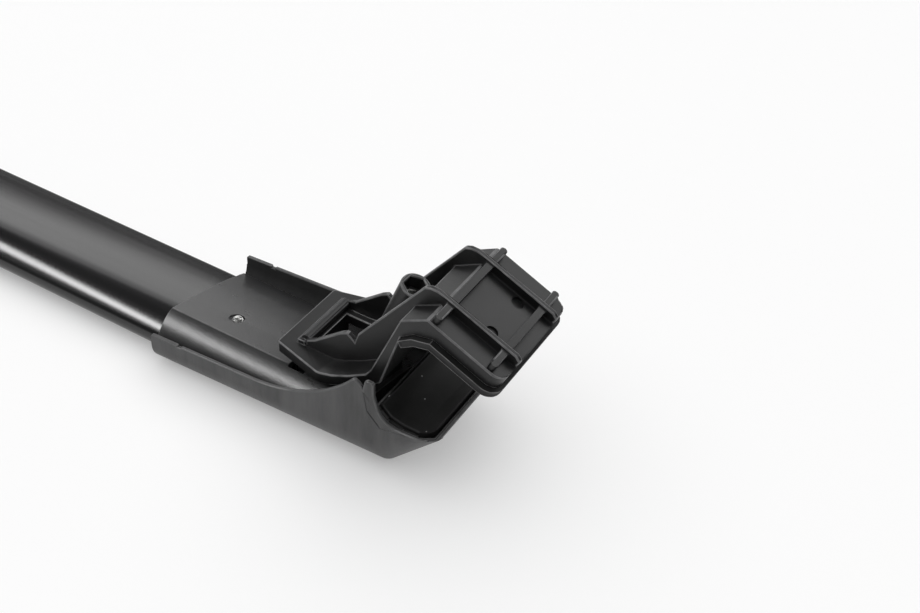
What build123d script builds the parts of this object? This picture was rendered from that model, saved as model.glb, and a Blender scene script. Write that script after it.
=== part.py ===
"""Roof rack crossbar, lying as photographed with its clamps up.

Millimetres, +X along the bar, +Y across it, +Z up, floor at zero.
Foot stations are measured outboard from the inboard tip of the shell's lip.
"""
import os
from math import acos, asin, atan2, cos, hypot, pi, radians, sin, sqrt, tan

from build123d import *

os.makedirs("parts", exist_ok=True)

# Whole object
overall_length = 1100.0
jaw_reach = 206.0
lip_x = overall_length / 2 - jaw_reach
through_cut = overall_length
fit_gap = 0.3

# Bar section: three corner circles under a crowned top, thick nose to -Y and thin tail to +Y
bar_floor = 4.0
bar_wall = 2.0
nose_y, nose_r = -29.0, 7.2
crest_y, crest_z = -14.0, 22.7
belly_y, belly_r = 17.0, 5.4
tail_y, tail_z, tail_r = 31.0, 7.6, 3.2
crown_r = 260.0
bar_end = 76.0
web_y, web_thickness = -15.5, 1.8

# Accessory slot in the side that faces the floor, and its rubber strip
slot_y = 4.0
slot_mouth, slot_width = 10.6, 18.0
slot_lip, slot_depth = 2.2, 6.0
slot_wall = 1.8
strip_flange = 1.8

# Sleeve over the bar end
sleeve_wall = 2.0
sleeve_grow = fit_gap + sleeve_wall
sleeve_end = 126.0
front_hem, back_hem, block_hem = 13.0, 10.4, 15.6
brim_start, brim_y = 26.0, 37.0
crease_y, crease_z, crease_back_y = -24.0, 27.6, -8.0
shoulder_y, shoulder_z = -33.2, 21.8
block_start, block_half = 92.0, 19.5
seat_start, seat_end, seat_half, seat_top = 98.0, 123.0, 15.0, 27.0
slot_in, slot_out, slot_front, slot_back = 78.2, 88.2, -25.5, 22.0

# Screw through the sleeve into the bar
screw_x, screw_y = 31.4, -8.1
screw_r, screw_head_r, screw_head_h, screw_length = 2.0, 4.0, 1.0, 11.0
screw_sunk, screw_clear = 0.4, 3.0
screw_hole_r = 2.3

# Outer shell
shell_half, shell_wall, shell_floor = 42.2, 2.3, 3.0
corner_at_lip, corner_growth = 13.7, 0.0656
relief_in, relief_out, relief_margin = -8.0, 185.0, 1.0
end_corner_low, end_corner_top = 23.0, 9.0
end_bend = 12.0
room_corner, room_end_corner = 13.5, 20.0
room_bevel_low, room_bevel_top = 16.0, 3.6
room_in, room_step, room_top = -5.0, block_start + fit_gap, 75.0
lip_tip, lip_turn, lip_top = (0.0, 21.2), (66.0, 25.0), (129.5, 58.6)
notch_edge = [(131.0, 59.0), (134.2, 57.0), (135.6, 55.2), (136.6, 60.6), (137.6, 61.4), (141.6, 61.4),
              (142.0, 53.0)]
rim_edge = [(142.0, 53.0), (146.8, 37.7), (175.6, 39.4)]
rim_bend = 12.0
end_edge = [(175.6, 39.4), (176.6, 38.2), (147.5, 0.0)]
toe_edge = [(17.0, 0.0), (0.0, 6.0), lip_tip]
rim_notch_x, rim_notch_width, rim_notch_z = 19.2, 2.2, 21.4
rim_width = 4.0
cradle_at, cradle_thickness, cradle_half = (12.0, 60.0), 3.0, 15.0

# Rail saddle inside the shell
saddle_curve = [(144.6, 47.0), (146.2, 45.0), (150.2, 41.4), (157.4, 39.6), (166.0, 39.7), (172.4, 40.3)]
saddle_pad, saddle_shelf = 3.0, 2.5
saddle_half = shell_half - rim_width - fit_gap

# Clamp bolt axis and boss
bolt_tilt = 70.0
mouth_x, mouth_z = 138.0, 92.0
boss_r, boss_length = 8.0, 50.0
hex_flats, hex_depth = 11.0, 14.0
bolt_r, bolt_hole_r, bolt_past_nut = 3.0, 3.6, 4.0
head_r, head_h = 5.0, 6.0
drive_flats, drive_depth = 5.0, 3.0
washer_bore_r, washer_h = 3.3, 1.2
tool_r, tool_length = 8.4, 40.0

# Eight-sided barrel nut in the sleeve, with two flats square to the bolt
nut_z, nut_r, nut_half = 18.0, 5.0, 10.0
nut_sides, nut_bore_r = 8, 3.06
nut_turn = bolt_tilt - 180 / nut_sides
nut_x = mouth_x - (mouth_z - nut_z) / tan(radians(bolt_tilt))
nut_depth = (mouth_z - nut_z) / sin(radians(bolt_tilt))
bolt_length = nut_depth - hex_depth + washer_h + nut_r + bolt_past_nut

# Clamp arm, side view
arm_half, arm_back_half, arm_taper_end = 32.5, 25.0, 101.0
arm_outer = [(72.0, 41.0), (103.0, 41.0), (110.0, 43.0), (120.0, 48.0), (130.5, 54.6), (133.5, 59.0),
             (149.2, 98.6), (163.5, 106.0), (204.0, 88.3)]
arm_inner = [(200.6, 80.6), (167.0, 95.4), (157.0, 93.2), (149.8, 88.4), (139.2, 53.2), (134.0, 49.0),
             (122.0, 42.0), (111.0, 36.6), (104.0, 34.6), (72.0, 34.6)]
rib_in, rib_thickness = 16.6, 3.0
rib_top = [(86.0, 44.5), (91.0, 47.0), (107.0, 60.0), (111.0, 62.2), (115.6, 58.4), (117.4, 64.4),
           (153.6, 111.6), (156.4, 112.6), (161.0, 112.4), (203.4, 94.6), (205.8, 91.6)]
rib_root = [(203.0, 87.6), (163.5, 104.0), (150.0, 96.5), (134.8, 57.5), (130.0, 52.5), (110.0, 41.0),
            (103.0, 39.0), (86.0, 39.0)]
rod_x, rod_z, rod_r = 85.0, 43.4, 2.8
window_in, window_out, window_half = 89.0, 108.0, 12.5
tongue_in, tongue_out, tongue_half, tongue_z = 80.6, 85.4, 20.0, 20.0
plate_x, plate_z, plate_slope = 163.5, 106.0, 23.6
cross_rib_at = (3.4, 35.8)
cross_rib_width, cross_rib_height, cross_rib_half = 3.8, 4.0, 31.2
plate_corner = 7.0
dimple_at, dimple_r, dimple_depth = ((25.1, 12.6), (25.1, -12.6)), 3.4, 1.2

# Jaw pad
pad_thickness, pad_half, pad_overhang = 4.0, 35.6, 2.2
pad_corner = 9.0

# Section circles, counterclockwise from the nose
nose_z = bar_floor + nose_r
belly_z = bar_floor + belly_r
nose, belly, tail = (nose_y, nose_z, nose_r), (belly_y, belly_z, belly_r), (tail_y, tail_z, tail_r)

# Centre of the crown, whose arc is tangent to the tail circle from outside and ends at the crest
tail_crest = hypot(tail_y - crest_y, tail_z - crest_z)
to_tail = crown_r - tail_r
along = (tail_crest ** 2 + to_tail ** 2 - crown_r ** 2) / (2 * tail_crest)
below = sqrt(to_tail ** 2 - along ** 2)
crown_y = tail_y + (along * (crest_y - tail_y) - below * (crest_z - tail_z)) / tail_crest
crown_z = tail_z + (along * (crest_z - tail_z) + below * (crest_y - tail_y)) / tail_crest

# Brow: arc that goes on from the crown at the crest and meets the nose circle without a corner
lean_y, lean_z = (crest_y - crown_y) / crown_r, (crest_z - crown_z) / crown_r
over_y, over_z = crest_y - nose_y, crest_z - nose_z
brow_r = (over_y ** 2 + over_z ** 2 - nose_r ** 2) / (2 * (over_y * lean_y + over_z * lean_z - nose_r))
brow_y, brow_z = crest_y - brow_r * lean_y, crest_z - brow_r * lean_z
crown, brow = (crown_y, crown_z, crown_r), (brow_y, brow_z, brow_r)


def tangent_angle(start, end):
    """Direction of the outward normal of the outer tangent from one section circle to the next."""
    heading = atan2(end[1] - start[1], end[0] - start[0])
    return heading - acos((start[2] - end[2]) / hypot(end[0] - start[0], end[1] - start[1]))


def crown_angle(y):
    """Direction of the crown's outward normal at one place across the bar."""
    return acos((y - crown_y) / crown_r)


def top_z(y, grow):
    """Height of the crowned top, grown outward by a wall, at one place across the bar."""
    return crown_z + sqrt((crown_r + grow) ** 2 - (y - crown_y) ** 2)


def rim_point(circle, angle, grow):
    """Point of a section circle, grown outward, in one direction."""
    return (circle[0] + (circle[2] + grow) * cos(angle), circle[1] + (circle[2] + grow) * sin(angle))


def wing(grow):
    """Bar section in the sketch that is open, grown outward by a wall or clearance."""
    under, rear = tangent_angle(nose, belly), tangent_angle(belly, tail)
    top = atan2(tail_z - crown_z, tail_y - crown_y)
    crest = atan2(crest_z - crown_z, crest_y - crown_y)
    front = atan2(nose_z - brow_z, nose_y - brow_y)
    with BuildLine() as outline:
        for circle, arrive, leave in ((nose, front, under), (belly, under, rear), (tail, rear, top),
                                      (crown, top, crest), (brow, crest, front)):
            middle = arrive + ((leave - arrive) % (2 * pi)) / 2
            ThreePointArc(*[rim_point(circle, angle, grow) for angle in (arrive, middle, leave)])
        Line(rim_point(nose, under, grow), rim_point(belly, under, grow))
        Line(rim_point(belly, rear, grow), rim_point(tail, rear, grow))
    make_face(outline.edges())


def station(x):
    """Cross-section plane at a foot station."""
    return Plane(origin=(lip_x + x, 0, 0), x_dir=(0, 1, 0), z_dir=(1, 0, 0))


def edge_relief(base, half, radius, growth, begin, finish):
    """Stock outside a cone that rounds one side edge of the shell, tangent to both faces beside it."""
    with BuildPart() as relief:
        for run in (begin, finish):
            outside, size = -half - relief_margin, radius + growth * run
            with BuildSketch(base.offset(run)):
                Polygon((outside, -relief_margin), (size - half, -relief_margin), (size - half, 0),
                        (-half, size), (outside, size), align=None)
        loft(ruled=True)
        lean = sqrt(1 + 2 * growth ** 2)
        swell = 1 / cos(asin(growth / lean))
        first, last = radius + growth * begin, radius + growth * finish
        axis = base.z_dir + (base.x_dir + base.y_dir) * growth
        with Locations(Plane(origin=base.from_local_coords((first - half, first, begin)), z_dir=axis)):
            Cone(first * swell, last * swell, (finish - begin) * lean,
                 align=(Align.CENTER, Align.CENTER, Align.MIN), mode=Mode.SUBTRACT)
    return relief.part


# Side elevation with +X outboard and +Z up, and the plane square to the clamp bolt at the boss mouth
side = Plane(origin=(lip_x, 0, 0), x_dir=(1, 0, 0), z_dir=(0, -1, 0))
bolt_dir = (cos(radians(bolt_tilt)), 0, sin(radians(bolt_tilt)))
mouth = Plane(origin=(lip_x + mouth_x, 0, mouth_z), x_dir=(0, 1, 0), z_dir=bolt_dir)
plate_dir = (cos(radians(plate_slope)), 0, -sin(radians(plate_slope)))
plate_up = (sin(radians(plate_slope)), 0, cos(radians(plate_slope)))
plate = Plane(origin=(lip_x + plate_x, 0, plate_z), x_dir=plate_dir, z_dir=plate_up)
slope_x, slope_z = end_edge[1][0] - end_edge[2][0], end_edge[1][1]
slope_length = hypot(slope_x, slope_z)
slope_dir = (slope_x, 0, slope_z)
end_slope = Plane(origin=(lip_x + end_edge[2][0], 0, 0), x_dir=(0, 1, 0), z_dir=slope_dir)
room_slope = Plane(origin=end_slope.from_local_coords((0, shell_wall, 0)), x_dir=(0, 1, 0), z_dir=slope_dir)
end_growth = (end_corner_top - end_corner_low) / slope_length
end_relief_out = slope_length + rim_width
bar_half = lip_x + bar_end
top_normal = (0, cos(crown_angle(screw_y)), sin(crown_angle(screw_y)))
seat_z = top_z(screw_y, sleeve_grow)
screw_seat = Plane(origin=(lip_x + screw_x, screw_y, seat_z), x_dir=(1, 0, 0), z_dir=top_normal)

# Bar extrusion: hollow wing with a web and the accessory slot
with BuildPart() as bar:
    with BuildSketch(Plane.YZ):
        wing(0)
    extrude(amount=bar_half, both=True)
    with BuildSketch(Plane.YZ):
        wing(-bar_wall)
    extrude(amount=bar_half, both=True, mode=Mode.SUBTRACT)
    web_top = top_z(web_y, -bar_wall / 2)
    channel_height = slot_lip + slot_depth + slot_wall
    with BuildSketch(Plane.YZ):
        with Locations((web_y, bar_floor + bar_wall / 2)):
            Rectangle(web_thickness, web_top - bar_floor - bar_wall / 2, align=(Align.CENTER, Align.MIN))
        with Locations((slot_y, bar_floor)):
            Rectangle(slot_width + 2 * slot_wall, channel_height, align=(Align.CENTER, Align.MIN))
    extrude(amount=bar_half, both=True)
    with BuildSketch(Plane.YZ):
        with Locations((slot_y, bar_floor)):
            Rectangle(slot_mouth, slot_lip, align=(Align.CENTER, Align.MIN))
        with Locations((slot_y, bar_floor + slot_lip)):
            Rectangle(slot_width, slot_depth, align=(Align.CENTER, Align.MIN))
    extrude(amount=bar_half, both=True, mode=Mode.SUBTRACT)
    for sign in (1, -1):
        hole_plane = Plane(origin=(sign * (lip_x + screw_x), screw_y, seat_z), z_dir=top_normal)
        with BuildSketch(hole_plane):
            Circle(screw_hole_r)
        extrude(amount=-screw_length - fit_gap, mode=Mode.SUBTRACT)
bar.part.label = "bar"
export_step(bar.part, "parts/bar.step")

# Rubber strip that fills the slot mouth, held by its flange behind the slot lips
with BuildPart() as slot_strip:
    with BuildSketch(Plane.YZ):
        with Locations((slot_y, bar_floor + fit_gap)):
            Rectangle(slot_mouth - 2 * fit_gap, slot_lip, align=(Align.CENTER, Align.MIN))
        with Locations((slot_y, bar_floor + slot_lip)):
            Rectangle(slot_width - 2 * fit_gap, strip_flange, align=(Align.CENTER, Align.MIN))
    extrude(amount=bar_half, both=True)
slot_strip.part.label = "slot_strip"
export_step(slot_strip.part, "parts/slot_strip.step")

# Sleeve: cap over the bar end with a front crease, a nut seat and the slot under the arm's heel
with BuildPart() as right_sleeve:
    with BuildSketch(station(0)):
        wing(sleeve_grow)
        nose_front = (nose_y - nose_r - sleeve_grow, front_hem)
        crease_foot = (crease_back_y, top_z(crease_back_y, sleeve_grow))
        with BuildLine():
            ThreePointArc((crease_y, crease_z), (shoulder_y, shoulder_z), nose_front)
            Polyline(nose_front, (crease_back_y, front_hem), crease_foot, (crease_y, crease_z))
        make_face()
        brim_top = [(brim_start, top_z(brim_start, sleeve_grow)), (brim_y, top_z(brim_y, sleeve_grow))]
        Polygon(*brim_top, (brim_y, back_hem), (brim_start, back_hem), align=None)
    extrude(amount=sleeve_end)
    with BuildSketch(station(0)):
        wing(fit_gap)
    extrude(amount=block_start, mode=Mode.SUBTRACT)
    with BuildSketch(station(0)):
        Rectangle(through_cut, front_hem, align=(Align.MAX, Align.MIN))
        Rectangle(through_cut, back_hem, align=(Align.MIN, Align.MIN))
    extrude(amount=block_start, mode=Mode.SUBTRACT)
    with BuildSketch(station(block_start)):
        Rectangle(through_cut, block_hem, align=(Align.CENTER, Align.MIN))
        Rectangle(2 * block_half, block_hem, align=(Align.CENTER, Align.MIN), mode=Mode.SUBTRACT)
        Rectangle(through_cut, shell_floor, align=(Align.CENTER, Align.MIN))
    extrude(amount=sleeve_end - block_start, mode=Mode.SUBTRACT)
    with BuildSketch(station(seat_start)):
        with Locations((0, nut_z)):
            Rectangle(2 * seat_half, seat_top - nut_z, align=(Align.CENTER, Align.MIN))
    extrude(amount=seat_end - seat_start)
    with BuildSketch(Plane.XY.offset(front_hem)):
        with Locations((lip_x + slot_in, slot_front)):
            Rectangle(slot_out - slot_in, slot_back - slot_front, align=(Align.MIN, Align.MIN))
    extrude(amount=through_cut, mode=Mode.SUBTRACT)
    with BuildSketch(side):
        with Locations((nut_x, nut_z)):
            RegularPolygon(nut_r + fit_gap / 2, nut_sides, rotation=nut_turn)
            Rectangle(2 * nut_r + fit_gap, nut_z, align=(Align.CENTER, Align.MAX))
    extrude(amount=nut_half + fit_gap, both=True, mode=Mode.SUBTRACT)
    with BuildSketch(mouth):
        Circle(bolt_hole_r)
    extrude(amount=-through_cut, mode=Mode.SUBTRACT)
    with BuildSketch(screw_seat.offset(screw_clear)):
        Circle(screw_head_r + fit_gap)
    extrude(amount=-screw_clear - screw_sunk - screw_head_h, mode=Mode.SUBTRACT)
    with BuildSketch(screw_seat):
        Circle(screw_hole_r)
    extrude(amount=-screw_length, mode=Mode.SUBTRACT)
right_sleeve.part.label = "right_sleeve"
export_step(right_sleeve.part, "parts/right_sleeve.step")

# Room inside the shell: narrow corners round the bar, wider ones under the saddle
with BuildPart() as shell_room:
    room_end_x = end_edge[1][0]
    for begin, finish, corner in ((room_in, room_step, room_corner), (room_step, room_end_x, room_end_corner)):
        with BuildSketch(station(begin)) as section:
            with Locations((0, shell_floor)):
                Rectangle(2 * (shell_half - shell_wall), room_top, align=(Align.CENTER, Align.MIN))
            fillet(section.vertices().group_by(Axis.Y)[0], corner)
        extrude(amount=finish - begin)
    inset_x = shell_wall * slope_length / slope_z
    room_end = [(end_edge[2][0] - inset_x, 0), (room_end_x - inset_x, slope_z)]
    with BuildSketch(side):
        Polygon((room_in, 0), *room_end, (room_end[1][0], room_top), (room_in, room_top), align=None)
    extrude(amount=shell_half, both=True, mode=Mode.INTERSECT)
    room_half = shell_half - shell_wall
    for sign in (1, -1):
        low, wide, high = [room_slope.from_local_coords((sign * across, up, run)) for across, up, run in
                           ((room_half - room_bevel_low, 0, 0), (room_half, room_bevel_low, 0),
                            (room_half - room_bevel_top, 0, slope_length))]
        bevel = Plane(origin=low, x_dir=wide - low, z_dir=(wide - low).cross(high - low) * sign)
        split(bisect_by=bevel, keep=Keep.BOTTOM)

# Outer shell: lip curve, notched rim round the rail, sloping end, conical lower corners
with BuildPart() as right_shell:
    with BuildSketch(side):
        with BuildLine():
            Line(lip_tip, lip_turn)
            TangentArc(lip_turn, lip_top, tangent=(lip_turn[0] - lip_tip[0], lip_turn[1] - lip_tip[1]))
            Polyline(lip_top, *notch_edge)
            FilletPolyline(*rim_edge, radius=rim_bend)
            Line(end_edge[0], end_edge[1])
            FilletPolyline(end_edge[1], end_edge[2], toe_edge[0], radius=end_bend)
            Polyline(*toe_edge)
        make_face()
    extrude(amount=shell_half, both=True)
    for relief in (edge_relief(station(0), shell_half, corner_at_lip, corner_growth, relief_in, relief_out),
                   edge_relief(end_slope, shell_half, end_corner_low, end_growth, relief_in, end_relief_out)):
        add(relief, mode=Mode.SUBTRACT)
        mirror(relief, about=Plane.XZ, mode=Mode.SUBTRACT)
    add(shell_room.part, mode=Mode.SUBTRACT)
    with BuildSketch(side):
        with BuildLine():
            Polyline(*saddle_curve[:-1])
            offset(amount=saddle_pad + saddle_shelf, side=Side.RIGHT)
        make_face()
        with BuildLine():
            Polyline(*saddle_curve)
            offset(amount=saddle_pad, side=Side.RIGHT)
        make_face(mode=Mode.SUBTRACT)
    extrude(amount=shell_half - shell_wall / 2, both=True)
    with BuildSketch(side):
        for cradle_x in cradle_at:
            with Locations((cradle_x, shell_floor / 2)):
                Rectangle(cradle_thickness, bar_floor - shell_floor / 2, align=(Align.CENTER, Align.MIN))
    extrude(amount=cradle_half, both=True)
    with BuildSketch(side):
        with Locations((rim_notch_x, rim_notch_z)):
            Rectangle(rim_notch_width, rim_width, align=(Align.CENTER, Align.MIN))
    extrude(amount=through_cut, both=True, mode=Mode.SUBTRACT)
right_shell.part.label = "right_shell"
export_step(right_shell.part, "parts/right_shell.step")

# Rubber liner of the rail saddle
with BuildPart() as right_saddle_pad:
    with BuildSketch(side):
        with BuildLine():
            Polyline(*saddle_curve)
            offset(amount=saddle_pad, side=Side.RIGHT)
        make_face()
    extrude(amount=saddle_half, both=True)
    corners = [edge for edge in right_saddle_pad.edges() if abs(edge.center().Y) > saddle_half - fit_gap]
    saddle_tip = lip_x + saddle_curve[-1][0]
    fillet([edge for edge in corners if edge.center().X > saddle_tip], end_corner_top - shell_wall)
right_saddle_pad.part.label = "right_saddle_pad"
export_step(right_saddle_pad.part, "parts/right_saddle_pad.step")

# Clamp arm: bent slab, tall side ribs, plate ribs with pegs, heel rod and tongue, bolt boss and tool channel
with BuildPart() as right_arm:
    with BuildSketch(side):
        Polygon(*arm_outer, *arm_inner, align=None)
    extrude(amount=arm_half, both=True)
    side_edges = [edge for edge in right_arm.edges() if abs(edge.center().Y) > arm_half - fit_gap]
    fillet([edge for edge in side_edges if edge.center().X > lip_x + arm_inner[0][0]], plate_corner)
    with BuildSketch(Plane.XY):
        for sign in (1, -1):
            heel = (lip_x + arm_outer[0][0], sign * arm_back_half)
            waist = (lip_x + arm_taper_end, sign * arm_half)
            Polygon(heel, waist, (lip_x, sign * through_cut), (lip_x, sign * arm_back_half), align=None)
    extrude(amount=through_cut, mode=Mode.SUBTRACT)
    with BuildSketch(Plane.XY):
        with Locations((lip_x + window_in, 0)):
            Rectangle(window_out - window_in, 2 * window_half, align=(Align.MIN, Align.CENTER))
    extrude(amount=through_cut, mode=Mode.SUBTRACT)
    with BuildSketch(side):
        with Locations((tongue_in, tongue_z)):
            Rectangle(tongue_out - tongue_in, rod_z - tongue_z, align=(Align.MIN, Align.MIN))
    extrude(amount=tongue_half, both=True)
    with BuildSketch(mouth):
        Circle(boss_r)
    extrude(amount=-boss_length)
    with BuildSketch(mouth):
        Circle(tool_r)
    extrude(amount=tool_length, mode=Mode.SUBTRACT)
    for start in (rib_in, -rib_in - rib_thickness):
        with BuildSketch(side.offset(start)):
            Polygon(*rib_top, *rib_root, align=None)
        extrude(amount=rib_thickness)
    with BuildSketch(side):
        with Locations((rod_x, rod_z)):
            Circle(rod_r)
    extrude(amount=rib_in + rib_thickness / 2, both=True)
    for run in cross_rib_at:
        with BuildSketch(plate):
            with Locations((run, 0)):
                SlotOverall(2 * cross_rib_half, cross_rib_width, rotation=90)
        extrude(amount=cross_rib_height)
    with BuildSketch(plate):
        with Locations(*dimple_at):
            Circle(dimple_r)
    extrude(amount=-dimple_depth, mode=Mode.SUBTRACT)
    with BuildSketch(mouth):
        RegularPolygon(hex_flats / sqrt(3), 6)
    extrude(amount=-hex_depth, mode=Mode.SUBTRACT)
    with BuildSketch(mouth):
        Circle(bolt_hole_r)
    extrude(amount=-through_cut, mode=Mode.SUBTRACT)
right_arm.part.label = "right_arm"
export_step(right_arm.part, "parts/right_arm.step")

# Rubber pad under the jaw plate, a little longer than the plate
with BuildPart() as right_jaw_pad:
    jaw_lip, jaw_knee = arm_inner[0], arm_inner[1]
    jaw_x, jaw_z = jaw_lip[0] - jaw_knee[0], jaw_lip[1] - jaw_knee[1]
    reach = 1 + pad_overhang / hypot(jaw_x, jaw_z)
    pad_lip = (jaw_knee[0] + reach * jaw_x, jaw_knee[1] + reach * jaw_z)
    with BuildSketch(side):
        with BuildLine():
            Polyline(arm_inner[3], arm_inner[2], jaw_knee, pad_lip)
            offset(amount=pad_thickness, side=Side.RIGHT)
        make_face()
    extrude(amount=pad_half, both=True)
    corners = [edge for edge in right_jaw_pad.edges() if abs(edge.center().Y) > pad_half - fit_gap]
    fillet([edge for edge in corners if edge.center().X > lip_x + jaw_lip[0] - pad_thickness], pad_corner)
right_jaw_pad.part.label = "right_jaw_pad"
export_step(right_jaw_pad.part, "parts/right_jaw_pad.step")

# Clamp bolt: socket head, shank down to the nut
with BuildPart() as right_bolt:
    with BuildSketch(mouth.offset(-hex_depth + washer_h)):
        Circle(head_r)
    extrude(amount=head_h)
    with BuildSketch(mouth.offset(-hex_depth + washer_h)):
        Circle(bolt_r)
    extrude(amount=-bolt_length)
    with BuildSketch(mouth.offset(-hex_depth + washer_h + head_h)):
        RegularPolygon(drive_flats / sqrt(3), 6)
    extrude(amount=-drive_depth, mode=Mode.SUBTRACT)
right_bolt.part.label = "right_bolt"
export_step(right_bolt.part, "parts/right_bolt.step")

# Washer between the bolt head and the boss seat, six-sided to stand still in the mouth
with BuildPart() as right_washer:
    with BuildSketch(mouth.offset(-hex_depth)):
        RegularPolygon((hex_flats - 2 * fit_gap) / sqrt(3), 6)
        Circle(washer_bore_r, mode=Mode.SUBTRACT)
    extrude(amount=washer_h)
right_washer.part.label = "right_washer"
export_step(right_washer.part, "parts/right_washer.step")

# Barrel nut lying across the foot
with BuildPart() as right_nut:
    with BuildSketch(side):
        with Locations((nut_x, nut_z)):
            RegularPolygon(nut_r, nut_sides, rotation=nut_turn)
    extrude(amount=nut_half, both=True)
    with BuildSketch(mouth):
        Circle(nut_bore_r)
    extrude(amount=-through_cut, mode=Mode.SUBTRACT)
right_nut.part.label = "right_nut"
export_step(right_nut.part, "parts/right_nut.step")

# Flat-headed screw that holds the sleeve on the bar
with BuildPart() as right_sleeve_screw:
    with BuildSketch(screw_seat.offset(-screw_sunk)):
        Circle(screw_head_r)
    extrude(amount=-screw_head_h)
    with BuildSketch(screw_seat.offset(-screw_sunk)):
        Circle(screw_r)
    extrude(amount=-screw_length + screw_sunk)
right_sleeve_screw.part.label = "right_sleeve_screw"
export_step(right_sleeve_screw.part, "parts/right_sleeve_screw.step")

# Left foot: the right one mirrored
right_foot = {"sleeve": right_sleeve, "shell": right_shell, "saddle_pad": right_saddle_pad, "arm": right_arm,
              "jaw_pad": right_jaw_pad, "bolt": right_bolt, "washer": right_washer, "nut": right_nut,
              "sleeve_screw": right_sleeve_screw}
for name, piece in right_foot.items():
    with BuildPart() as left_piece:
        mirror(piece.part, about=Plane.YZ)
    left_piece.part.label = "left_" + name
    export_step(left_piece.part, "parts/left_" + name + ".step")
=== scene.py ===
from math import radians

import bmesh
import bpy
from mathutils import Matrix, Vector
from mathutils.bvhtree import BVHTree


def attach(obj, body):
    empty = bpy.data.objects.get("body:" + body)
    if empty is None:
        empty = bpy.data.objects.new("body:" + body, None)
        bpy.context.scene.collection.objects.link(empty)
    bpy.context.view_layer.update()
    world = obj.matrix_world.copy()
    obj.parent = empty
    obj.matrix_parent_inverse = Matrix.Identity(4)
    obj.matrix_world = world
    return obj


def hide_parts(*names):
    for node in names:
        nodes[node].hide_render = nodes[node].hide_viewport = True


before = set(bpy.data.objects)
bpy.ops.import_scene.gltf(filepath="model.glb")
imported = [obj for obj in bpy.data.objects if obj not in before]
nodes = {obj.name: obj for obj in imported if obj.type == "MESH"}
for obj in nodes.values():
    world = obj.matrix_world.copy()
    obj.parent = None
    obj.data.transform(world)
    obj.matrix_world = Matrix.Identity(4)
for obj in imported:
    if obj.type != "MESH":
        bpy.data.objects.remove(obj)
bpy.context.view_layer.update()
sides = {"right": 1, "left": -1}
print("frame loaded:", len(nodes), "nodes")


# Small helpers for node materials

def newMaterial(name):
    mat = bpy.data.materials.new(name)
    mat.use_nodes = True
    tree = mat.node_tree
    tree.nodes.clear()
    out = tree.nodes.new("ShaderNodeOutputMaterial")
    surf = tree.nodes.new("ShaderNodeBsdfPrincipled")
    tree.links.new(surf.outputs["BSDF"], out.inputs["Surface"])
    return mat, tree, surf


def objectCoords(tree, scale=(1, 1, 1)):
    coords = tree.nodes.new("ShaderNodeTexCoord")
    place = tree.nodes.new("ShaderNodeMapping")
    place.inputs["Scale"].default_value = scale
    tree.links.new(coords.outputs["Object"], place.inputs["Vector"])
    return place.outputs["Vector"]


def meshValue(tree, name):
    node = tree.nodes.new("ShaderNodeAttribute")
    node.attribute_name = name
    return node.outputs["Fac"]


def noise(tree, vector, scale=1.0, detail=2.0, rough=0.5):
    tex = tree.nodes.new("ShaderNodeTexNoise")
    tex.inputs["Scale"].default_value = scale
    tex.inputs["Detail"].default_value = detail
    tex.inputs["Roughness"].default_value = rough
    tree.links.new(vector, tex.inputs["Vector"])
    return tex.outputs["Fac"]


def spread(tree, value, source, target):
    ramp = tree.nodes.new("ShaderNodeMapRange")
    for label, number in zip(("From Min", "From Max", "To Min", "To Max"), (*source, *target)):
        ramp.inputs[label].default_value = number
    tree.links.new(value, ramp.inputs["Value"])
    return ramp.outputs["Result"]


def reckon(tree, operation, first, second):
    node = tree.nodes.new("ShaderNodeMath")
    node.operation = operation
    for socket, value in zip(node.inputs, (first, second)):
        if isinstance(value, (int, float)):
            socket.default_value = value
        else:
            tree.links.new(value, socket)
    return node.outputs["Value"]


def tint(tree, fac, under, over):
    mix = tree.nodes.new("ShaderNodeMix")
    mix.data_type = "RGBA"
    for socket, colour in (("A", under), ("B", over)):
        if isinstance(colour, tuple):
            mix.inputs[socket].default_value = (*colour, 1)
        else:
            tree.links.new(colour, mix.inputs[socket])
    tree.links.new(fac, mix.inputs["Factor"])
    return mix.outputs["Result"]


def bump(tree, height, depth, strength, under=None):
    node = tree.nodes.new("ShaderNodeBump")
    node.inputs["Distance"].default_value = depth
    node.inputs["Strength"].default_value = strength
    tree.links.new(height, node.inputs["Height"])
    if under is not None:
        tree.links.new(under, node.inputs["Normal"])
    return node.outputs["Normal"]


# Lone grains: near a cell's centre, in the few cells that are chosen
def grains(tree, scale, size, share):
    cells = tree.nodes.new("ShaderNodeTexVoronoi")
    cells.inputs["Scale"].default_value = scale
    tree.links.new(objectCoords(tree), cells.inputs["Vector"])
    split = tree.nodes.new("ShaderNodeSeparateColor")
    tree.links.new(cells.outputs["Color"], split.inputs["Color"])
    near = reckon(tree, "LESS_THAN", cells.outputs["Distance"], size)
    return reckon(tree, "MULTIPLY", near, reckon(tree, "LESS_THAN", split.outputs["Red"], share))


# Satin black coat of the bar: faint orange peel, long drawn streaks from the extrusion
barCoat = {"dark": (0.006, 0.006, 0.0063), "light": (0.010, 0.010, 0.0103), "gloss": (0.17, 0.23),
           "streak": (4, 320, 320), "streakDetail": 3.0, "streakRange": (0.3, 0.7),
           "peel": 900.0, "peelDepth": 0.00003, "peelStrength": 0.2}


def makeBarCoat():
    mat, tree, surf = newMaterial("barCoat")
    drawn = noise(tree, objectCoords(tree, barCoat["streak"]), detail=barCoat["streakDetail"])
    peel = noise(tree, objectCoords(tree), barCoat["peel"])
    tree.links.new(tint(tree, drawn, barCoat["dark"], barCoat["light"]), surf.inputs["Base Color"])
    tree.links.new(spread(tree, drawn, barCoat["streakRange"], barCoat["gloss"]), surf.inputs["Roughness"])
    tree.links.new(bump(tree, peel, barCoat["peelDepth"], barCoat["peelStrength"]), surf.inputs["Normal"])
    return mat


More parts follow.
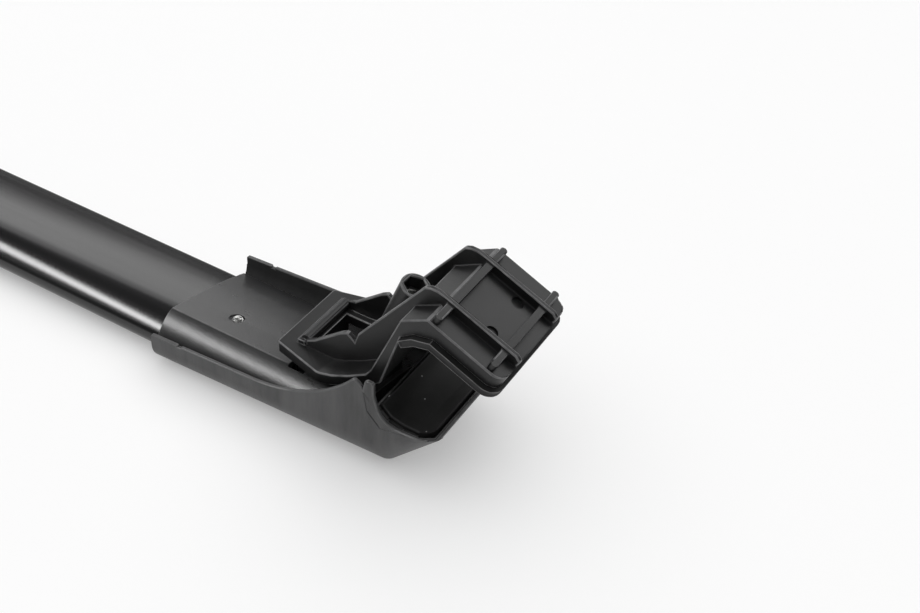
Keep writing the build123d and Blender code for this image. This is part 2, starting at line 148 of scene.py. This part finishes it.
# Moulded black plastic or rubber: fine grain, cloudy flow marks, edge strips painted paler as wear and
# painted highlight, some dust
moulding = {"flowDetail": 4.0, "flowRough": 0.6, "toneRange": (0.3, 0.7), "glossRange": (0.25, 0.75),
            "grainDetail": 3.0, "grainRough": 0.65, "fineScale": 2.5, "fineStrength": 0.5,
            "paleEdgeScale": 160.0, "paleEdgeDetail": 3.0, "paleEdgeRange": (0.3, 0.65), "paleEdgeShare": (0.45, 1),
            "dustTone": (0.3, 0.3, 0.3)}


def makeMoulded(name, look):
    mat, tree, surf = newMaterial(name)
    surf.inputs["Specular IOR Level"].default_value = look["shine"]
    flow = noise(tree, objectCoords(tree, look["flow"]), detail=moulding["flowDetail"],
                 rough=moulding["flowRough"])
    grain = noise(tree, objectCoords(tree), look["grain"], moulding["grainDetail"], moulding["grainRough"])
    fine = noise(tree, objectCoords(tree), look["grain"] * moulding["fineScale"])
    colour = tint(tree, spread(tree, flow, moulding["toneRange"], (0, 1)), look["dark"], look["light"])
    dull = spread(tree, flow, moulding["glossRange"], look["gloss"])
    # Faces within the shell get a painted shade colour and a duller finish
    if look["inside"]:
        inside = meshValue(tree, "inside")
        colour = tint(tree, inside, colour, look["inside"])
        dull = reckon(tree, "MAXIMUM", dull, inside)
    # Rounded edge strips are painted paler, in patches: partly wear, partly painted highlight
    patchy = noise(tree, objectCoords(tree), moulding["paleEdgeScale"], moulding["paleEdgeDetail"])
    patchy = spread(tree, patchy, moulding["paleEdgeRange"], moulding["paleEdgeShare"])
    colour = tint(tree, reckon(tree, "MULTIPLY", meshValue(tree, "rubbedAndHighlit"), patchy), colour, look["edge"])
    if look["dust"]:
        colour = tint(tree, grains(tree, *look["dust"]), colour, moulding["dustTone"])
    tree.links.new(colour, surf.inputs["Base Color"])
    tree.links.new(dull, surf.inputs["Roughness"])
    under = bump(tree, fine, look["depth"], look["strength"] * moulding["fineStrength"])
    tree.links.new(bump(tree, grain, look["depth"], look["strength"], under), surf.inputs["Normal"])
    return mat


# Dust is given as cells per metre, size of a grain within its cell, and share of cells that have one
# The edge colours paint the rounded edge strips paler, partly as wear and partly as painted highlight
shellLook = {"dark": (0.022, 0.022, 0.0225), "light": (0.080, 0.080, 0.081), "edge": (0.10, 0.10, 0.101),
             # colour of the painted shade within the shell
             "inside": (0.006, 0.006, 0.0062), "shine": 0.5, "gloss": (0.36, 0.50), "flow": (110, 30, 16),
             "grain": 1500.0, "depth": 0.0001, "strength": 0.5, "dust": None}
sleeveLook = {"dark": (0.024, 0.024, 0.0244), "light": (0.036, 0.036, 0.0365), "edge": (0.10, 0.10, 0.101),
              "inside": None, "shine": 0.5, "gloss": (0.25, 0.32), "flow": (18, 40, 40),
              "grain": 1000.0, "depth": 0.00008, "strength": 0.8, "dust": None}
armLook = {"dark": (0.007, 0.007, 0.0072), "light": (0.013, 0.013, 0.0133), "edge": (0.15, 0.15, 0.152),
           "inside": None, "shine": 0.36, "gloss": (0.34, 0.44), "flow": (30, 30, 30),
           "grain": 1700.0, "depth": 0.00008, "strength": 0.45, "dust": None}
saddleLook = {"dark": (0.004, 0.004, 0.004), "light": (0.007, 0.007, 0.007), "edge": (0.02, 0.02, 0.02),
              "inside": None, "shine": 0.4, "gloss": (0.55, 0.7), "flow": (40, 20, 40),
              "grain": 1100.0, "depth": 0.0001, "strength": 0.4, "dust": (240.0, 0.13, 0.16)}
jawLook = {"dark": (0.007, 0.007, 0.007), "light": (0.012, 0.012, 0.012), "edge": (0.18, 0.18, 0.18),
           "inside": None, "shine": 0.36, "gloss": (0.5, 0.62), "flow": (40, 40, 40),
           "grain": 1100.0, "depth": 0.0001, "strength": 0.4, "dust": (300.0, 0.12, 0.05)}


# Zinc-plated steel: brushed tone, duller in patches
steelLook = {"dark": (0.42, 0.42, 0.41), "light": (0.62, 0.62, 0.61), "gloss": (0.22, 0.36),
             "patch": 300.0, "patchDetail": 4.0, "patchRange": (0.3, 0.7),
             "brush": 2500.0, "brushDepth": 0.00003, "brushStrength": 0.3}


def makeSteel():
    mat, tree, surf = newMaterial("platedSteel")
    surf.inputs["Metallic"].default_value = 1.0
    patch = noise(tree, objectCoords(tree), steelLook["patch"], steelLook["patchDetail"])
    brush = noise(tree, objectCoords(tree), steelLook["brush"])
    brushed = bump(tree, brush, steelLook["brushDepth"], steelLook["brushStrength"])
    tree.links.new(tint(tree, patch, steelLook["dark"], steelLook["light"]), surf.inputs["Base Color"])
    tree.links.new(spread(tree, patch, steelLook["patchRange"], steelLook["gloss"]), surf.inputs["Roughness"])
    tree.links.new(brushed, surf.inputs["Normal"])
    return mat


finishes = {
    "bar_coat": makeBarCoat(),
    "shell_plastic": makeMoulded("shellPlastic", shellLook),
    "sleeve_plastic": makeMoulded("sleevePlastic", sleeveLook),
    "arm_plastic": makeMoulded("armPlastic", armLook),
    "saddle_rubber": makeMoulded("saddleRubber", saddleLook),
    "jaw_rubber": makeMoulded("jawRubber", jawLook),
    "strip_rubber": makeMoulded("stripRubber", saddleLook),
    "steel": makeSteel(),
}
print("finishes made:", len(finishes))


def dress(obj, finish):
    obj.data.materials.clear()
    obj.data.materials.append(finishes[finish])


def standFor(bm, name, node, finish, body):
    mesh = bpy.data.meshes.new(name)
    bm.to_mesh(mesh)
    bm.free()
    piece = bpy.data.objects.new(name, mesh)
    bpy.context.scene.collection.objects.link(piece)
    dress(piece, finish)
    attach(piece, body)
    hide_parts(node)
    print(name, "made:", len(mesh.polygons), "faces")
    return piece


# Groove round the edge of the jaw pad, between its two lips: on faces that look sideways or to the tip
padGroove = {"lip": 0.0012, "depth": 0.0007, "tip": (0.916, -0.400), "sideways": 0.3, "tipwards": 0.95}


def grooveEdge(bm, sign):
    tipX, tipZ = padGroove["tip"]
    tip = Vector((sign * tipX, 0, tipZ))
    edge = [face for face in bm.faces if abs(face.normal.y) > padGroove["sideways"]
            or face.normal.dot(tip) > padGroove["tipwards"]]
    bmesh.ops.inset_region(bm, faces=edge, thickness=padGroove["lip"], depth=-padGroove["depth"],
                           use_even_offset=True, use_boundary=True)


# Crease in the shell's flat outer sides, which follows the rim of the rail cut-out
rimCrease = {"line": ((0.4786, 0.0600), (0.4825, 0.0420), (0.4900, 0.0345), (0.5160, 0.0392)),
             "half": 0.0005, "depth": 0.0004, "steps": 2, "outside": 0.042, "flat": 0.999, "touch": 0.000001}


def isOuterSide(face):
    flat = abs(face.normal.y) > rimCrease["flat"]
    return flat and abs(face.calc_center_median().y) > rimCrease["outside"]


def isOnRun(vert, start, along, across, length):
    place = vert.co - start
    close = rimCrease["touch"]
    return abs(place.dot(across)) < close and -close < place.dot(along) < length + close


def creaseRim(bm, sign):
    points = [Vector((sign * x, 0, z)) for x, z in rimCrease["line"]]
    runs = []
    for start, end in zip(points, points[1:]):
        along = (end - start).normalized()
        runs.append((start, along, along.cross(Vector((0, 1, 0))), (end - start).length))
    for start, _, across, _ in runs:
        side = [face for face in bm.faces if isOuterSide(face)]
        lines = list({edge for face in side for edge in face.edges})
        corners = list({vert for face in side for vert in face.verts})
        bmesh.ops.bisect_plane(bm, geom=side + lines + corners, dist=rimCrease["touch"], plane_co=start,
                               plane_no=across)
    creases = [edge for edge in bm.edges if all(isOuterSide(face) for face in edge.link_faces)
               and any(all(isOnRun(vert, *run) for vert in edge.verts) for run in runs)]
    bmesh.ops.bevel(bm, geom=creases, offset=rimCrease["half"], offset_type="OFFSET", affect="EDGES",
                    segments=rimCrease["steps"], profile=0.5, material=-1, clamp_overlap=False,
                    loop_slide=True)
    for vert in bm.verts:
        if abs(vert.co.y) > rimCrease["outside"] and any(isOnRun(vert, *run) for run in runs):
            vert.co.y *= 1 - rimCrease["depth"] / abs(vert.co.y)


# Painted shade in the shell: faces that look towards the bar's middle line are painted darker and made duller
insideTone = 0.85


def markInsideShade(bm):
    inside = bm.loops.layers.float.new("inside")
    for face in bm.faces:
        if face.normal.y * face.calc_center_median().y < 0:
            for corner in face.loops:
                corner[inside] = insideTone


# A moulded piece is the node's own shape with its sharp edges rounded, and the outer strips of the rounding
# marked for paler paint, partly wear and partly painted highlight
softEdges = {
    "shell": {"width": 0.0008, "steps": 3, "above": 0.016, "finish": "shell_plastic", "body": "base"},
    "sleeve": {"width": 0.0005, "steps": 2, "above": 0, "finish": "sleeve_plastic", "body": "base"},
    "arm": {"width": 0.0008, "steps": 3, "above": 0, "finish": "arm_plastic", "body": "clamp"},
    "jaw_pad": {"width": 0.0004, "steps": 2, "above": 0, "finish": "jaw_rubber", "body": "clamp"},
    "saddle_pad": {"width": 0.0008, "steps": 2, "above": 0, "finish": "saddle_rubber", "body": "base"},
    "bolt": {"width": 0.0003, "steps": 2, "above": 0, "finish": "steel", "body": "bolt"},
    "bar": {"width": 0, "steps": 0, "above": 0, "finish": "bar_coat", "body": "base"},
    "slot_strip": {"width": 0.0003, "steps": 2, "above": 0, "finish": "strip_rubber", "body": "base"},
}
sharpFrom = radians(30)  # a fold from here on gets a rounded edge
strayLimit = 0.75  # share of the width by which a corner may leave the old surface
paleStripFrom = 0.03  # share of the width by which a rounded strip lies under the old surface, so that it is painted paler as wear and painted highlight
weldWithin = 0.000002
leastEdge = 0.00001


def isSharp(edge):
    return len(edge.link_faces) == 2 and edge.calc_face_angle() > sharpFrom


def roundEdges(bm, soft, rubbedAndHighlit):
    skin = BVHTree.FromBMesh(bm)
    sharp = [edge for edge in bm.edges if isSharp(edge) and edge.calc_length() > soft["width"]
             and min(vert.co.z for vert in edge.verts) > soft["above"]]
    bmesh.ops.bevel(bm, geom=sharp, offset=soft["width"], offset_type="OFFSET", affect="EDGES",
                    segments=soft["steps"], profile=0.5, material=-1, clamp_overlap=False, loop_slide=True)
    for vert in bm.verts:
        spot, _, _, stray = skin.find_nearest(vert.co)
        if stray > soft["width"] * strayLimit:
            vert.co = spot
    bmesh.ops.dissolve_degenerate(bm, edges=bm.edges, dist=leastEdge)
    bm.normal_update()
    for face in bm.faces:
        middle = face.calc_center_median()
        spot, facing, _, _ = skin.find_nearest(middle)
        slim = face.calc_area() < soft["width"] * max(edge.calc_length() for edge in face.edges)
        # Strips that bulge outward are marked for the paler paint of wear and painted highlight
        if slim and (spot - middle).dot(facing) > soft["width"] * paleStripFrom:
            for corner in face.loops:
                corner[rubbedAndHighlit] = 1


def softenNode(node, part, body):
    soft = softEdges[part]
    bm = bmesh.new()
    bm.from_mesh(nodes[node].data)
    bmesh.ops.remove_doubles(bm, verts=bm.verts, dist=weldWithin)
    rubbedAndHighlit = bm.loops.layers.float.new("rubbedAndHighlit")
    if part == "jaw_pad":
        grooveEdge(bm, sides[node.split("_")[0]])
    if soft["width"]:
        roundEdges(bm, soft, rubbedAndHighlit)
    if part == "shell":
        creaseRim(bm, sides[node.split("_")[0]])
        bmesh.ops.dissolve_degenerate(bm, edges=bm.edges, dist=leastEdge)
        bm.normal_update()
        markInsideShade(bm)
    for face in bm.faces:
        face.smooth = True
    for edge in bm.edges:
        edge.smooth = not isSharp(edge)
    piece = standFor(bm, node + "_soft", node, soft["finish"], body)
    if soft["width"]:
        even = piece.modifiers.new("evenShading", "WEIGHTED_NORMAL")
        even.keep_sharp = True


softenNode("bar", "bar", "base")
softenNode("slot_strip", "slot_strip", "base")
for side in sides:
    for part in ("shell", "sleeve", "arm", "jaw_pad", "saddle_pad", "bolt"):
        body = softEdges[part]["body"]
        softenNode(side + "_" + part, part, body if body == "base" else side + "_" + body)

# Sleeve screw: low domed head with a rolled edge and a cross recess
screw = {"head": 0.0032, "flat": 0.0028, "dome": 0.006, "tall": 0.0010, "roll": 0.0008, "shank": 0.002,
         "long": 0.0102, "half": 0.0018, "grid": 6, "round": 24, "arm": 0.0013, "blade": 0.0007,
         "deep": 0.0008, "taper": 0.8, "at": (0.3754, -0.00818, 0.02355), "lean": radians(11.3)}


def makeScrew(side, sign):
    bm = bmesh.new()
    bmesh.ops.create_grid(bm, x_segments=screw["grid"], y_segments=screw["grid"], size=screw["half"])
    middle = [edge for edge in bm.edges if edge.is_boundary]
    ring = bmesh.ops.create_circle(bm, segments=screw["round"], radius=screw["flat"])["verts"]
    around = list({edge for vert in ring for edge in vert.link_edges})
    bmesh.ops.bridge_loops(bm, edges=middle + around)
    for vert in bm.verts:
        vert.co.z = -vert.co.length_squared / (2 * screw["dome"])
    loop = around
    for radius, level in ((screw["head"], -screw["roll"]), (screw["head"], -screw["tall"]),
                          (screw["shank"], -screw["tall"]), (screw["shank"], -screw["long"])):
        out = bmesh.ops.extrude_edge_only(bm, edges=loop)["geom"]
        for vert in [part for part in out if isinstance(part, bmesh.types.BMVert)]:
            flat = Vector((vert.co.x, vert.co.y, 0)).normalized() * radius
            vert.co = (flat.x, flat.y, level)
        loop = [part for part in out if isinstance(part, bmesh.types.BMEdge)]
    bmesh.ops.edgeloop_fill(bm, edges=loop)
    cross = []
    for face in bm.faces:
        where = face.calc_center_median()
        near, far = sorted((abs(where.x), abs(where.y)))
        if where.z > -screw["tall"] / 2 and near < screw["blade"] and far < screw["arm"]:
            cross.append(face)
    sunk = bmesh.ops.extrude_face_region(bm, geom=cross)["geom"]
    recess = [part for part in sunk if isinstance(part, bmesh.types.BMVert)]
    bmesh.ops.delete(bm, geom=cross, context="FACES_ONLY")
    bmesh.ops.translate(bm, verts=recess, vec=(0, 0, -screw["deep"]))
    bmesh.ops.scale(bm, verts=recess, vec=(screw["taper"], screw["taper"], 1))
    bmesh.ops.recalc_face_normals(bm, faces=bm.faces)
    x, y, z = screw["at"]
    place = Matrix.Translation((sign * x, y, z)) @ Matrix.Rotation(screw["lean"], 4, "X")
    bmesh.ops.transform(bm, matrix=place, verts=bm.verts)
    standFor(bm, side + "_screw", side + "_sleeve_screw", "steel", "base")


for side, sign in sides.items():
    makeScrew(side, sign)

# Hidden nuts and washers keep their own meshes
for obj in nodes.values():
    if not obj.hide_render:
        dress(obj, "steel")

# Floor: white to the eye and in reflections, but it keeps the shadow
floorLook = {"size": 20.0, "below": -0.0002, "colour": (0.96, 0.96, 0.96), "rough": 0.8, "lift": 0.3}
bpy.ops.mesh.primitive_plane_add(size=floorLook["size"], location=(0, 0, floorLook["below"]))
floor = bpy.context.object
floor.name = "floor"
floorMat, floorTree, floorSurf = newMaterial("paleFloor")
floorSurf.inputs["Base Color"].default_value = (*floorLook["colour"], 1)
floorSurf.inputs["Roughness"].default_value = floorLook["rough"]
glow = floorTree.nodes.new("ShaderNodeEmission")
seen = floorTree.nodes.new("ShaderNodeLightPath")
anyRay = reckon(floorTree, "MAXIMUM", seen.outputs["Is Camera Ray"], seen.outputs["Is Glossy Ray"])
anyRay = reckon(floorTree, "MAXIMUM", anyRay, seen.outputs["Is Transmission Ray"])
both = floorTree.nodes.new("ShaderNodeMixShader")
floorTree.links.new(reckon(floorTree, "MULTIPLY", anyRay, floorLook["lift"]), both.inputs["Fac"])
floorTree.links.new(floorSurf.outputs["BSDF"], both.inputs[1])
floorTree.links.new(glow.outputs["Emission"], both.inputs[2])
floorTree.links.new(both.outputs["Shader"], floorTree.nodes["Material Output"].inputs["Surface"])
floor.data.materials.append(floorMat)


def pointLight(light, way):
    light.rotation_euler = way.to_track_quat("-Z", "Y").to_euler()
    bpy.context.scene.collection.objects.link(light)


# Cards that only show as reflections: strip for the bar's nose, two for its top, one for the clamp plate
aim = Vector((0.25, 0, 0.02))
cards = {
    "noseStrip": {"at": (-0.526, -0.776, 1.043), "size": (1.15, 0.27), "power": 18.5},
    "backLow": {"at": (-0.861, 1.149, 0.732), "size": (1.10, 0.62), "power": 4.2},
    "backHigh": {"at": (-0.682, 0.964, 1.145), "size": (1.10, 0.37), "power": 1.7},
    "clampFill": {"at": (0.71, 1.34, 1.43), "size": (1.60, 1.00), "power": 14},
}
for name, card in cards.items():
    data = bpy.data.lights.new(name, "AREA")
    data.shape = "RECTANGLE"
    data.size, data.size_y = card["size"]
    data.energy = card["power"]
    light = bpy.data.objects.new(name, data)
    light.location = card["at"]
    light.visible_diffuse = False
    pointLight(light, aim - Vector(card["at"]))

# Soft even light from above, which lights all surfaces and isn't mirrored
overhead = {"from": (-0.06, 0.12, 0.99), "strength": 2.75, "spread": radians(110)}
data = bpy.data.lights.new("overhead", "SUN")
data.energy = overhead["strength"]
data.angle = overhead["spread"]
light = bpy.data.objects.new("overhead", data)
light.visible_glossy = False
pointLight(light, -Vector(overhead["from"]))

worldTone = (0.12, 0.12, 0.12)
world = bpy.data.worlds.new("studio")
world.use_nodes = True
world.node_tree.nodes["Background"].inputs["Color"].default_value = (*worldTone, 1)
bpy.context.scene.world = world
bpy.context.scene.view_settings.view_transform = "Standard"

# Camera at the photograph's place, with the directions that it holds to the right, up and behind it
photoView = {"lens": 50.17, "sensor": 36.0, "at": (0.7234, -0.4107, 0.4847),
             "right": (0.8574, 0.5111, 0.0607), "up": (-0.3715, 0.5329, 0.7603),
             "back": (0.3563, -0.6744, 0.6468)}
lens = bpy.data.cameras.new("photoView")
lens.lens = photoView["lens"]
lens.sensor_width = photoView["sensor"]
camera = bpy.data.objects.new("photoView", lens)
turn = Matrix((photoView["right"], photoView["up"], photoView["back"])).transposed().to_4x4()
camera.matrix_world = Matrix.Translation(photoView["at"]) @ turn
bpy.context.scene.collection.objects.link(camera)
bpy.context.scene.camera = camera
print("floor, lamps and camera set")
